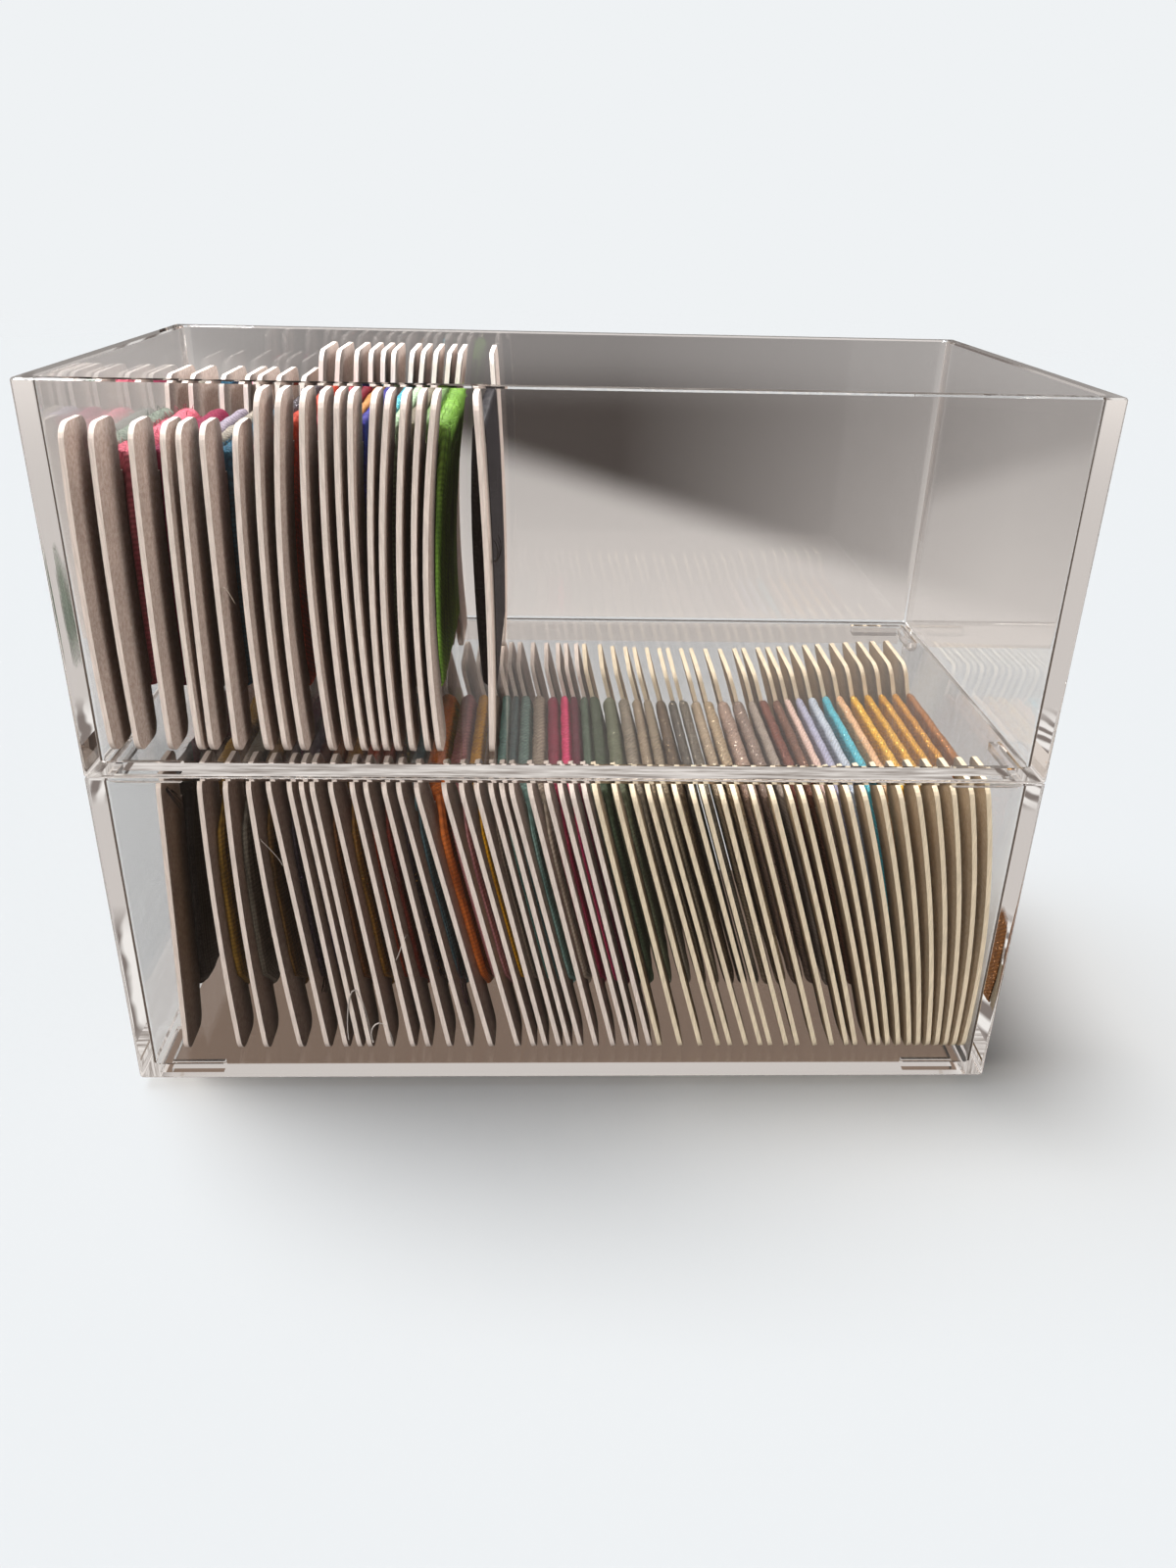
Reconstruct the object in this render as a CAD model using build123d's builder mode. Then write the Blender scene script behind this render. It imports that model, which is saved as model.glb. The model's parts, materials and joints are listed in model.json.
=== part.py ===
"""Embroidery thread box: two clear trays, one stacked on the other, each holding a row of thread cards.

Millimetres. The origin is on the table, under the middle of the stack. X runs along the long side,
Y from front to back and Z up. Every card is a flat H-shaped plate that stands on end across its tray,
with its thread wound up and down round the waist between the two notches.
"""

import os
from dataclasses import dataclass
from math import cos, radians, sin, tan

from build123d import *

# Trays: both come from one mould
tray_width = 228.0
tray_depth = 118.0
tray_height = 89.0
tray_wall = 3.5
tray_floor = 3.1
outer_corner_radius = 1.2
inner_corner_radius = 1.5
base_edge_radius = 0.8
floor_edge_chamfer = 0.5
rim_chamfer = 0.4

# Feet: an L under each corner, which drops inside the rim of the tray below
foot_height = 3.0
foot_leg_length = 17.0
foot_width = 2.8
foot_rim_clearance = 1.2
foot_edge_chamfer = 0.8

# Cards
card_thickness = 1.2
card_foot_gap = 0.5
card_headroom = 2.9
short_card_drop = 7.0
card_corner_radius = 4.0
notch_length = 56.0
notch_depth = 12.5
card_seat_gap = 0.1

# Windings: a closed band of thread round each card's waist
winding_notch_gap = 2.0
winding_card_clearance = 0.1
winding_edge_build_up = 1.5
winding_taper_length = 5.0
winding_edge_share = 0.45
winding_thickness_limit = 3.0
neighbour_gap = 0.4
wall_gap = 0.6

# Travel: a card that is drawn ends this far over its neighbours, and a lifted bundle this far under the tray above
tray_lift = 120.0
card_draw_clearance = 5.0
bundle_lift_clearance = 0.4

# Upper row: spacings from card to card at mid height, and each card's lean to the right in degrees
upper_row_start = 2.1
upper_row_length = 88.0
upper_short_count = 7
upper_spacings = (6.1, 8.0, 6.8, 3.0, 5.4, 7.2, 4.8, 4.3, 5.9, 3.9, 3.5, 2.8, 3.7, 2.9, 3.4, 3.6, 2.9, 10.4)
upper_leans = (0.5, 0.8, 1.2, 0.8, 1.2, 0.7, 0.2, 1.0, 1.3, -0.1, -0.2, -0.5, -0.5, 1.2, 1.3, 1.3, 1.2, 1.3, -1.5)

# Lower row: the same, in bundles of five that are lifted together
lower_row_start = 9.4
bundle_size = 5
lower_spacings = (
    12.2, 6.6, 7.4, 5.9, 5.0,
    3.3, 2.7, 5.0, 5.6, 3.7,
    5.1, 4.4, 5.1, 7.0, 4.3,
    3.5, 3.6, 2.7, 2.7, 4.4,
    4.4, 3.6, 2.7, 3.3, 2.7,
    5.3, 4.9, 4.4, 3.1, 4.1,
    4.1, 2.7, 4.5, 3.1, 4.7,
    4.8, 4.2, 2.8, 4.2, 2.9,
    3.1, 3.5, 3.7, 3.5, 3.6,
    3.5, 3.4, 3.4, 3.3,
)
lower_leans = (
    2.6, -1.0, -1.6, -4.2, -6.2,
    -6.2, -6.6, -6.8, -7.4, -8.1,
    -8.8, -9.8, -11.2, -12.5, -12.8,
    -12.7, -12.6, -12.7, -12.9, -13.1,
    -13.2, -13.5, -13.6, -13.7, -13.9,
    -14.1, -14.6, -15.7, -16.3, -16.6,
    -16.9, -16.9, -16.9, -17.0, -16.9,
    -17.1, -17.1, -16.7, -16.3, -15.9,
    -15.3, -14.6, -13.8, -12.8, -11.6,
    -10.3, -8.9, -7.5, -6.1, -4.6,
)

# Worked out from the above
inner_width = tray_width - 2 * tray_wall
inner_depth = tray_depth - 2 * tray_wall
lower_base_z = foot_height
upper_base_z = lower_base_z + tray_height
card_length = inner_depth - 2 * (foot_rim_clearance + foot_width + card_foot_gap)
tall_card_height = tray_height - tray_floor - card_headroom
short_card_height = tall_card_height - short_card_drop
card_draw = tall_card_height + card_draw_clearance
bundle_lift = card_headroom - card_seat_gap - bundle_lift_clearance
winding_length = notch_length - 2 * winding_notch_gap

# Two rounds of chamfers make a card's corners nearly round with three short faces, because there are many cards
card_corner_cuts = tuple(
    card_corner_radius * (tan(radians(turn)) - tan(radians(turn / 2))) for turn in (45, 22.5)
)


@dataclass
class Seat:
    """Where one card stands: x of its middle plane at mid height, its lean, its height and its floor."""

    mid_x: float
    lean: float
    height: float
    floor_z: float

    def x_at(self, height):
        """x of the middle plane at a height over the floor."""
        return self.mid_x + (height - self.height / 2) * tan(radians(self.lean))

    def up(self):
        """Unit vector up along the leaning card."""
        return Vector(sin(radians(self.lean)), 0, cos(radians(self.lean)))

    def plane(self):
        """Plane of the card: local X runs to the back, local Y up the card, from the middle of its foot."""
        foot_drop = card_thickness / 2 * abs(sin(radians(self.lean)))
        foot_z = self.floor_z + card_seat_gap + foot_drop
        return Plane(origin=(self.x_at(0), 0, foot_z), x_dir=(0, 1, 0), z_dir=self.up().cross(Vector(0, -1, 0)))


def seat_row(first_x, last_x, spacings, leans, heights, floor_z):
    """Seats from first_x to last_x, with the spacings kept in proportion."""
    scale = (last_x - first_x) / sum(spacings)
    seats = []
    mid_x = first_x
    for lean, height, spacing in zip(leans, heights, spacings + (0,)):
        seats.append(Seat(mid_x, lean, height, floor_z))
        mid_x += spacing * scale
    return seats


def foot_reach(lean, height):
    """How far a leaning card's foot stands out sideways from its middle at mid height."""
    return height / 2 * tan(radians(abs(lean))) + card_thickness / 2


def winding_span(height):
    """Lowest and highest point of the winding, measured up the card."""
    return notch_depth - winding_edge_build_up, height - notch_depth + winding_edge_build_up


def side_thickness(near, far, travel):
    """Thread thickness on the side of one card that faces another: half the room, less the gap."""
    low, high = winding_span(near.height)
    closest = min(abs(far.x_at(height) - near.x_at(height)) for height in (low, high + travel))
    steepest = max(abs(near.lean), abs(far.lean))
    room = closest * cos(radians(steepest)) - card_thickness
    return min(winding_thickness_limit, (room - neighbour_gap) / 2)


def wall_side_thickness(seat, travel):
    """Thread thickness on the side of an end card that faces the tray's wall."""
    low, high = winding_span(seat.height)
    closest = min(inner_width / 2 - abs(seat.x_at(height)) for height in (low, high + travel))
    return min(winding_thickness_limit, closest - card_thickness / 2 - wall_gap)


def row_thicknesses(seats, travel):
    """Thread thickness on the left and on the right of each card of a row."""
    thicknesses = []
    for place, seat in enumerate(seats):
        if place == 0:
            left = wall_side_thickness(seat, travel)
        else:
            left = side_thickness(seat, seats[place - 1], travel)
        if place == len(seats) - 1:
            right = wall_side_thickness(seat, travel)
        else:
            right = side_thickness(seat, seats[place + 1], travel)
        thicknesses.append((left, right))
    return thicknesses


def make_tray(base_z):
    """One moulded tray with its four L-shaped feet."""
    foot_x = inner_width / 2 - foot_rim_clearance
    foot_y = inner_depth / 2 - foot_rim_clearance
    with BuildPart() as tray:
        with BuildSketch(Plane.XY.offset(base_z)):
            RectangleRounded(tray_width, tray_depth, outer_corner_radius)
        extrude(amount=tray_height)
        fillet(tray.faces().sort_by(Axis.Z)[0].edges(), base_edge_radius)

        with BuildSketch(Plane.XY.offset(base_z + tray_floor)):
            RectangleRounded(inner_width, inner_depth, inner_corner_radius)
        extrude(amount=tray_height - tray_floor, mode=Mode.SUBTRACT)
        chamfer(tray.faces().sort_by(Axis.Z)[-1].edges(), rim_chamfer)
        floor_face = tray.faces().filter_by(Axis.Z).group_by(Axis.Z)[1].sort_by(SortBy.AREA)[-1]
        chamfer(floor_face.edges(), floor_edge_chamfer)

        with BuildSketch(Plane.XY.offset(base_z)):
            with Locations((-foot_x, -foot_y)):
                Rectangle(foot_leg_length, foot_width, align=(Align.MIN, Align.MIN))
                Rectangle(foot_width, foot_leg_length, align=(Align.MIN, Align.MIN))
            mirror(about=Plane.XZ)
            mirror(about=Plane.YZ)
        extrude(amount=-foot_height)
        chamfer(tray.faces().filter_by(Axis.Z).group_by(Axis.Z)[0].edges(), foot_edge_chamfer)
    return tray.part


def make_card(seat):
    """One H-shaped card: a plate with rounded corners and a notch in its top and its bottom edge."""
    with BuildPart() as card:
        with BuildSketch(seat.plane()) as outline:
            with Locations((0, seat.height / 2)):
                Rectangle(card_length, seat.height)
            for cut in card_corner_cuts:
                chamfer(outline.vertices(), cut)
            with Locations((0, 0), (0, seat.height)):
                Rectangle(notch_length, 2 * notch_depth, mode=Mode.SUBTRACT)
        extrude(amount=card_thickness / 2, both=True)
    return card.part


def make_winding(seat, left, right):
    """The thread on one card: a closed band round the waist, fullest over the flat of the card."""
    low, high = winding_span(seat.height)
    edge_left = card_thickness / 2 + left * winding_edge_share
    edge_right = card_thickness / 2 + right * winding_edge_share
    full_left = card_thickness / 2 + left
    full_right = card_thickness / 2 + right
    waist_half_width = card_thickness / 2 + winding_card_clearance
    waist_low = notch_depth - winding_card_clearance
    waist_high = seat.height - notch_depth + winding_card_clearance
    section = Plane(origin=seat.plane().origin, x_dir=seat.plane().z_dir, z_dir=(0, -1, 0))
    with BuildPart() as winding:
        with BuildSketch(section):
            with BuildLine():
                Polyline(
                    (-edge_left, low),
                    (edge_right, low),
                    (full_right, low + winding_taper_length),
                    (full_right, high - winding_taper_length),
                    (edge_right, high),
                    (-edge_left, high),
                    (-full_left, high - winding_taper_length),
                    (-full_left, low + winding_taper_length),
                    close=True,
                )
            make_face()
            with Locations((0, seat.height / 2)):
                Rectangle(2 * waist_half_width, waist_high - waist_low, mode=Mode.SUBTRACT)
        extrude(amount=winding_length / 2, both=True)
    return winding.part


def write_node(name, *solids):
    """Write one node: a single solid, or a group of separate solids."""
    node = solids[0] if len(solids) == 1 else Compound(children=list(solids))
    node.label = name
    export_step(node, f"parts/{name}.step")


# Rows
upper_floor_z = upper_base_z + tray_floor
upper_heights = tuple(
    short_card_height if place < upper_short_count else tall_card_height for place in range(len(upper_leans))
)
upper_first_x = -inner_width / 2 + upper_row_start
upper_seats = seat_row(
    upper_first_x, upper_first_x + upper_row_length, upper_spacings, upper_leans, upper_heights, upper_floor_z
)
upper_thicknesses = row_thicknesses(upper_seats, card_draw)

lower_floor_z = lower_base_z + tray_floor
lower_heights = (tall_card_height,) * len(lower_leans)
lower_last_x = inner_width / 2 - wall_gap - foot_reach(lower_leans[-1], lower_heights[-1])
lower_seats = seat_row(
    -inner_width / 2 + lower_row_start, lower_last_x, lower_spacings, lower_leans, lower_heights, lower_floor_z
)
lower_thicknesses = row_thicknesses(lower_seats, bundle_lift)


# Pieces
os.makedirs("parts", exist_ok=True)

write_node("lower_tray", make_tray(lower_base_z))
write_node("upper_tray", make_tray(upper_base_z))

for place, (seat, (left, right)) in enumerate(zip(upper_seats, upper_thicknesses), start=1):
    write_node(f"upper_card_{place:02d}", make_card(seat))
    write_node(f"upper_thread_{place:02d}", make_winding(seat, left, right))

for first in range(0, len(lower_seats), bundle_size):
    bundle = first // bundle_size + 1
    seats = lower_seats[first : first + bundle_size]
    thicknesses = lower_thicknesses[first : first + bundle_size]
    write_node(f"lower_cards_{bundle:02d}", *(make_card(seat) for seat in seats))
    windings = (make_winding(seat, left, right) for seat, (left, right) in zip(seats, thicknesses))
    write_node(f"lower_threads_{bundle:02d}", *windings)
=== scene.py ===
# %% [markdown]
# # Embroidery thread box
#
# Two clear moulded trays stand one on the other. In each stands a row of H-shaped cards, wound with
# embroidery thread. The trays keep the meshes that CAD gave them and only get a better material. The cards
# and the windings are made again here, because real cards bow and real windings are soft and uneven. The
# first step opens the frame, which holds every CAD piece at its place, in metres.

# %% Open the frame
import json

import bpy
import numpy as np
from mathutils import Matrix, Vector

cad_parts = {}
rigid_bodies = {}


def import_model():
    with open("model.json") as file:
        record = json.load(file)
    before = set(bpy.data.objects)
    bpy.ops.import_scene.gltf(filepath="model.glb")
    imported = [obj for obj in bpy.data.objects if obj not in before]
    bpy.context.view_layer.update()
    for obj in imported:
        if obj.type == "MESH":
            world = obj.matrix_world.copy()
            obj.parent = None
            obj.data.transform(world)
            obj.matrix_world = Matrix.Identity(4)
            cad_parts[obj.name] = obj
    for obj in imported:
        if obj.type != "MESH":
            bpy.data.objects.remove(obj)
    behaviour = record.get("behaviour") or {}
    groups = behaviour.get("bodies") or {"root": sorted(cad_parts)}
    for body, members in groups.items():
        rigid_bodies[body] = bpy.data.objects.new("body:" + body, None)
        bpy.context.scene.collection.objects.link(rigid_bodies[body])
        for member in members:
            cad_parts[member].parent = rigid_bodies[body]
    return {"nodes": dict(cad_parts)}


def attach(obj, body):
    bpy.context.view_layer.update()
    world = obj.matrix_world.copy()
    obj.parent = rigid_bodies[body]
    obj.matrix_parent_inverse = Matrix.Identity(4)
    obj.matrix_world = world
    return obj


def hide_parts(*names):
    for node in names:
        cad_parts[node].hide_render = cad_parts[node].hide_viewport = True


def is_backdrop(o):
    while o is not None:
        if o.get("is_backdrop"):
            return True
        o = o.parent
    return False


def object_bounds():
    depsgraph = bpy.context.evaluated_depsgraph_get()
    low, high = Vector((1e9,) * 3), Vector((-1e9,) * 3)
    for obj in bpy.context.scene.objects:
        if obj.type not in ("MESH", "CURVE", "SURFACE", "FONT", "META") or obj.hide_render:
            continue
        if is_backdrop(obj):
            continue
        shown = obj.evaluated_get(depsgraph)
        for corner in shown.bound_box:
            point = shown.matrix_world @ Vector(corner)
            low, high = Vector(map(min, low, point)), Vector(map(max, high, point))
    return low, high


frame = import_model()
cad_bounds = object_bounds()

MM = 0.001
box_low, box_high = (np.array(corner) for corner in cad_bounds)
print("the box measures", np.round((box_high - box_low) / MM, 1), "mm")

# %% [markdown]
# Colours are written as sRGB hex values, as a designer picks them on a screen. Blender's shaders reckon in
# linear light, so one function turns them over.


# %% Colours
def linear(hex_colour, alpha=1.0):
    """Linear colour of an sRGB hex: c / 12.92 near black, else ((c + 0.055) / 1.055) to the power 2.4."""
    share = np.array([int(hex_colour[i : i + 2], 16) / 255 for i in (1, 3, 5)])
    light = np.where(share <= 0.04045, share / 12.92, ((share + 0.055) / 1.055) ** 2.4)
    return (*light.tolist(), alpha)


print("the pale floor is", np.round(linear("#EFF2F4")[:3], 3), "in linear light")

# %% [markdown]
# A material is a small tree of nodes. One function adds a node: a value that is a socket, or another node, is
# linked, and any other value is typed in. It serves every kind of node, so the materials below read as lists.


# %% A node with its settings and links
def add(tree, kind, inputs=None, **settings):
    """Adds a shader node. An entry of inputs that is a socket or a node is linked, and any other is typed in.

    A node stands for its first output that is in use."""
    node = tree.nodes.new("ShaderNode" + kind)
    for name, value in settings.items():
        setattr(node, name, value)
    for name, value in (inputs or {}).items():
        if isinstance(value, bpy.types.Node):
            value = next(output for output in value.outputs if output.enabled)
        if isinstance(value, bpy.types.NodeSocket):
            tree.links.new(value, node.inputs[name])
        else:
            node.inputs[name].default_value = value
    return node


def new_material(name):
    """An empty node material and its tree."""
    material = bpy.data.materials.new(name)
    material.use_nodes = True
    material.node_tree.nodes.clear()
    return material, material.node_tree


def finish_material(tree, surface):
    """Sends a shader to the material's output."""
    add(tree, "OutputMaterial", {"Surface": surface})


# %% [markdown]
# The camera stands in front of the box, a little above it, and looks down by about 26 degrees. Its place was
# found by fitting the corners of both trays, so it is set down as a place, three angles and a lens. A camera
# looks along its own -Z, so the columns of its matrix are its right, its up and its backward.

# %% Camera
camera_place = np.array((-6.5, -307.3, 214.2)) * MM
camera_pitch, camera_yaw, camera_roll = np.radians((26.29, 2.37, 1.39))
picture_height = 1600
focal_pixels = 1193.8

forward = np.array((
    np.sin(camera_yaw) * np.cos(camera_pitch),
    np.cos(camera_yaw) * np.cos(camera_pitch),
    -np.sin(camera_pitch),
))
level_right = np.array((np.cos(camera_yaw), -np.sin(camera_yaw), 0.0))
level_up = np.cross(level_right, forward)
right = np.cos(camera_roll) * level_right + np.sin(camera_roll) * level_up
up = -np.sin(camera_roll) * level_right + np.cos(camera_roll) * level_up

camera_data = bpy.data.cameras.new("camera")
camera_data.sensor_width = 36.0
camera_data.lens = camera_data.sensor_width * focal_pixels / picture_height
camera_data.clip_start = 0.01
camera = bpy.data.objects.new("camera", camera_data)
bpy.context.scene.collection.objects.link(camera)
camera.matrix_world = Matrix(
    [[right[i], up[i], -forward[i], camera_place[i]] for i in range(3)] + [[0, 0, 0, 1]]
)
bpy.context.scene.camera = camera
print("the lens is", round(camera_data.lens, 2), "mm")

# %% [markdown]
# A box of clear walls would show an empty white room through every wall. So the even pale sky sends less
# light to matt faces than the eye sees, and less still into mirrored light. Light that was mirrored more than
# once is caught in a wall. The edges where it comes out shine, so for that light the sky is bright again. The
# Light Path node counts how often a ray was mirrored on its way, as Glossy Depth.


# %% Sky
def mirrored_more_than(tree, times):
    """1 for light that was mirrored more than that many times on its way, else 0."""
    mirrored = add(tree, "LightPath").outputs["Glossy Depth"]
    return add(tree, "Math", {0: mirrored, 1: times + 0.5}, operation="GREATER_THAN")


sky_colour = linear("#EFF2F4")
sky_on_matt = 0.13
matt_sky = (sky_on_matt * 0.95, sky_on_matt, sky_on_matt * 1.06, 1.0)

scene = bpy.context.scene
scene.view_settings.view_transform = "Standard"
scene.world = bpy.data.worlds.new("pale_sky")
scene.world.use_nodes = True
tree = scene.world.node_tree
tree.nodes.clear()
mirrored_sky = add(tree, "Mix", {
    "Factor": mirrored_more_than(tree, 1),
    6: linear("#45403E"),
    7: linear("#FAF4F0"),
}, data_type="RGBA")
seen_sky = add(tree, "Mix", {
    "Factor": mirrored_more_than(tree, 0),
    6: sky_colour,
    7: mirrored_sky,
}, data_type="RGBA")
any_sky = add(tree, "Mix", {
    "Factor": add(tree, "LightPath").outputs["Is Diffuse Ray"],
    6: seen_sky,
    7: matt_sky,
}, data_type="RGBA")
sky = add(tree, "Background", {"Color": any_sky})
add(tree, "OutputWorld", {"Surface": sky})
print("the sky sends", sky_on_matt, "to matt faces")

# %% [markdown]
# The key lamp stands high behind, to the left, and throws the shadow forward and to the right. It lights
# everything. The other lamps light only the cards and threads, as narrow studio spots would: one from the
# front for each row, one from above for the tops of the windings, and three weak ones for the ends and the
# back. They leave out the trays, because clear walls would mirror each of them as a bright shape.


# %% Lamps
def soft_lamp(name, strength, softness, place):
    """A distant lamp that shines from a place to the origin, with a disc softness degrees wide."""
    data = bpy.data.lights.new(name, "SUN")
    data.energy = strength
    data.angle = np.radians(softness)
    lamp = bpy.data.objects.new(name, data)
    scene.collection.objects.link(lamp)
    back = np.array(place, float) / np.linalg.norm(place)
    side = np.cross((0, 0, 1), back)
    side /= np.linalg.norm(side)
    lamp.rotation_euler = Matrix(np.stack((side, np.cross(back, side), back), 1).tolist()).to_euler()
    return lamp


key_strength, key_softness, key_from = 4.2, 34, (-0.36, 0.17, 0.92)
row_lamps = (
    ("upper_row_lamp", 3.2, 12, (0.55, -0.72, 0.42), "upper"),
    ("lower_row_lamp", 2.3, 14, (-0.10, -0.85, 0.48), "lower"),
    ("crest_lamp", 2.8, 20, (-0.15, 0.30, 0.94), "both"),
    ("left_fill", 1.3, 20, (-0.55, -0.70, 0.45), "both"),
    ("right_end_fill", 1.6, 30, (0.95, 0.10, 0.30), "both"),
    ("back_fill", 1.8, 30, (0.10, 0.90, 0.40), "both"),
)
lit_rows = {row: bpy.data.collections.new(f"{row}_in_the_light") for row in ("upper", "lower", "both")}
soft_lamp("key_lamp", key_strength, key_softness, key_from)
for *settings, row in row_lamps:
    soft_lamp(*settings).light_linking.receiver_collection = lit_rows[row]
print(len(row_lamps), "lamps light only the cards and threads")

# %% [markdown]
# The floor is a sheet of pale paper. What the sky and the key lamp send back from it must equal the sky, so
# that no edge shows: a lamp of strength S at a height angle a adds S times the sine of a, over pi. Far from
# the box the paper fades out altogether. To light that was mirrored, or that a matt face sent on, the paper
# is painted dark brown: a painted dark reflection, and painted shade in the light that it sends on into the
# box. To light caught in a wall it glows, a painted light with slanting streaks beside the box. They paint
# fine bright and dark lines into the lower ends of the moulded edges.

# %% Paper floor
key_sine = key_from[2] / np.linalg.norm(key_from)
paper_share = 1 / (sky_on_matt + key_strength * key_sine / np.pi)
paper_colour = tuple(min(1.0, c * paper_share) for c in sky_colour[:3]) + (1.0,)
paper_reach = 4.0
print("the paper sends back", round(paper_colour[1], 3), "of the light")


def flat_sheet(name, low, high, material):
    """A rectangle that belongs to the studio, between two opposite corners that share one coordinate."""
    first, second = (axis for axis in range(3) if low[axis] != high[axis])
    corners = np.array((low, low, high, low), float)
    corners[1, first] = high[first]
    corners[3, second] = high[second]
    mesh = bpy.data.meshes.new(name)
    mesh.from_pydata(corners.tolist(), [], [(0, 1, 2, 3)])
    mesh.materials.append(material)
    sheet = bpy.data.objects.new(name, mesh)
    scene.collection.objects.link(sheet)
    sheet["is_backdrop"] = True
    return sheet


paper_sweep, tree = new_material("pale_paper_sweep")
place = add(tree, "TexCoord").outputs["Object"]
reach = add(tree, "VectorMath", {0: place}, operation="LENGTH").outputs["Value"]
fade = add(tree, "MapRange", {
    "Value": reach,
    "From Min": 1.0,
    "From Max": 2.6,
}, interpolation_type="SMOOTHSTEP")
# Painted dark reflection and painted shade: to mirrored light and to light that matt faces send on, the paper
# is dark brown.
sent_on = add(tree, "Math", {
    0: mirrored_more_than(tree, 0),
    1: add(tree, "LightPath").outputs["Is Diffuse Ray"],
}, operation="MAXIMUM")
paper_painted_dark_for_reflections = add(tree, "Mix", {"Factor": sent_on, 6: paper_colour, 7: linear("#51463E")}, data_type="RGBA")
matt_paper = add(tree, "BsdfDiffuse", {"Color": paper_painted_dark_for_reflections})

# Painted highlights: beside the box the paper glows in slanting streaks for light caught in a wall, and these
# show in the trays' edges.
axes = add(tree, "SeparateXYZ", {0: place})
aside = add(tree, "Math", {0: axes.outputs["X"]}, operation="ABSOLUTE")
before_back, after_gap, before_end, beside_box = (
    add(tree, "MapRange", {"Value": value, "From Min": without, "From Max": streaky})
    for value, without, streaky in (
        (axes.outputs["Y"], 0.10, 0.07),
        (axes.outputs["Y"], 0.22, 0.24),
        (axes.outputs["Y"], 0.40, 0.36),
        (aside, 0.110, 0.116),
    )
)
past_gap = add(tree, "Math", {0: after_gap, 1: before_end}, operation="MULTIPLY")
near_or_far = add(tree, "Math", {0: before_back, 1: past_gap}, operation="MAXIMUM")
glow_zone_beside_box = add(tree, "Math", {0: near_or_far, 1: beside_box}, operation="MULTIPLY")
stretched = add(tree, "Mapping", {"Vector": place, "Scale": (150.0, 38.0, 1.0)})
slant = add(tree, "TexWave", {
    "Vector": stretched,
    "Scale": 0.42,
    "Distortion": 5.0,
    "Detail": 2.0,
}, bands_direction="DIAGONAL")
striped = add(tree, "MapRange", {"Value": slant.outputs["Fac"], "From Min": 0.25, "From Max": 0.75})
painted_streak = add(tree, "Mix", {"Factor": striped, 6: linear("#8A817D"), 7: linear("#FFFDFB")}, data_type="RGBA")
glow_tone = add(tree, "Mix", {"Factor": glow_zone_beside_box, 6: linear("#D9D4D1"), 7: painted_streak}, data_type="RGBA")
# The paper glows here, though it is no lamp: painted light for the edges of the trays.
edge_glow = add(tree, "Emission", {"Color": glow_tone})
paper = add(tree, "MixShader", {"Fac": mirrored_more_than(tree, 1), 1: matt_paper, 2: edge_glow})
clear = add(tree, "BsdfTransparent")
sweep = add(tree, "MixShader", {"Fac": fade, 1: paper, 2: clear})
finish_material(tree, sweep)
floor = flat_sheet("floor", (-paper_reach, -paper_reach, 0), (paper_reach, paper_reach, 0), paper_sweep)

# %% [markdown]
# Clear plastic looks like what is behind it. Two glowing sheets of the studio, painted light, are seen only
# through the plastic: a grey one behind the box, paler low down, with a painted darker patch whose lower edge
# slants down to the right, and a brown one painted as the table under it. They don't show to the camera
# directly, and cast no light or shadow.

# %% The painted room behind
patch_left = np.array((-42.0, 100.0)) * MM
patch_right = np.array((186.0, 32.0)) * MM
slope = patch_right - patch_left
upright = np.array((-slope[1], slope[0])) / np.linalg.norm(slope)
line_at = float(patch_left @ upright)
soft_below, soft_above = 6 * MM, 16 * MM

# A glowing sheet, painted light: grey, paler low down, with a painted dark patch. It stands for the room seen
# through the plastic.
room_sheet_painted_behind, tree = new_material("glowing_grey_painted_room")
place = add(tree, "TexCoord").outputs["Object"]
axes = add(tree, "SeparateXYZ", {0: place})
low_to_high = add(tree, "MapRange", {"Value": axes.outputs["Z"], "From Min": -0.02, "From Max": 0.15})
painted_room_grey = add(tree, "Mix", {
    "Factor": low_to_high,
    6: linear("#F2ECE8"),
    7: linear("#BDB9B7"),
}, data_type="RGBA")
off_line = add(tree, "VectorMath", {0: place, 1: (upright[0], 0.0, upright[1])}, operation="DOT_PRODUCT")
painted_dark_patch = add(tree, "MapRange", {
    "Value": off_line.outputs["Value"],
    "From Min": line_at - soft_below,
    "From Max": line_at + soft_above,
}, interpolation_type="SMOOTHSTEP")
for axis, start, end, share_at_start, share_at_end, way in (
    ("X", 0.03, 0.24, 1.0, 0.15, "LINEAR"),
    ("X", -0.20, -0.10, 0.2, 1.0, "LINEAR"),
    ("Z", 0.12, 0.155, 1.0, 0.55, "SMOOTHSTEP"),
):
    share = add(tree, "MapRange", {
        "Value": axes.outputs[axis],
        "From Min": start,
        "From Max": end,
        "To Min": share_at_start,
        "To Max": share_at_end,
    }, interpolation_type=way)
    painted_dark_patch = add(tree, "Math", {0: painted_dark_patch, 1: share}, operation="MULTIPLY")
grey = add(tree, "Mix", {"Factor": painted_dark_patch, 6: painted_room_grey, 7: linear("#4A4543")}, data_type="RGBA")
finish_material(tree, add(tree, "Emission", {"Color": grey}))

wide, tall, behind_y = 900 * MM, 450 * MM, 300 * MM
behind = flat_sheet("behind", (-wide, behind_y, 0.0), (wide, behind_y, tall), room_sheet_painted_behind)
print("the dark patch's edge falls by", round(float(-slope[1] / slope[0]), 2), "per metre")

# %% [markdown]
# The glowing brown sheet lies just over the paper, under the box. Six more glowing sheets lie along the
# floors and inside the side walls. Only light that is caught in the plastic meets them: to any other light
# they are clear. They give it soft painted streaks of light, 20 mm long and 2 mm wide, so that the edges of
# the trays shine unevenly with painted highlights.

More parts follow.
